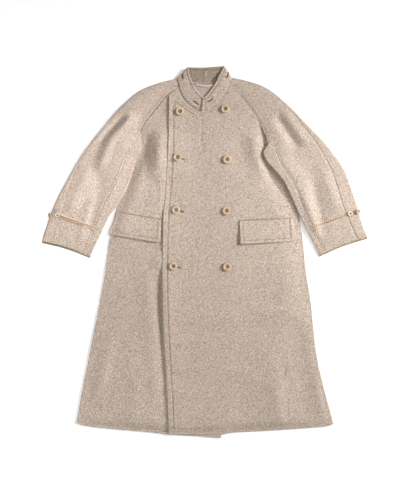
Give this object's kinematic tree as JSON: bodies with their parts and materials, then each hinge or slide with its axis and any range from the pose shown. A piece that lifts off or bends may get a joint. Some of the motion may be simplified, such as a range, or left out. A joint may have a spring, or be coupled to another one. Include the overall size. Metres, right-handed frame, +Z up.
{
  "type": "mandarin collar coat",
  "caption": "Long A-line wool coat with a mandarin collar, double-breasted button front, raglan sleeves, flap pockets and corded cuff loops, buttoned and laid flat.",
  "frame": {"origin": "middle of the coat's outline seen from above, on the surface that it lies on", "axes": "+Z up out of the front of the coat, +Y toward the collar, +X to the right as seen from above"},
  "size_m": [0.976, 1.116, 0.0251],
  "materials": {
    "wool": "marled woollen tweed",
    "lining": "smooth satin",
    "button": "polished horn look",
    "cord": "twisted cord"
  },
  "bodies": {
    "root": {"back": "wool", "front_under": "wool", "front_over": "wool", "sleeve_front_left": "wool", "sleeve_front_right": "wool", "sleeve_back_left": "wool", "sleeve_back_right": "wool", "collar": "wool", "neck_lining": "lining", "hanger_loop": "lining", "flap_left": "wool", "flap_right": "wool", "button_front_1": "button", "button_front_2": "button", "button_front_3": "button", "button_front_4": "button", "button_front_5": "button", "button_front_6": "button", "button_front_7": "button", "button_front_8": "button", "button_cuff_left_1": "button", "button_cuff_left_2": "button", "button_cuff_right_1": "button", "button_cuff_right_2": "button", "cuff_loop_left": "cord", "cuff_loop_right": "cord"}
  },
  "joints": []
}
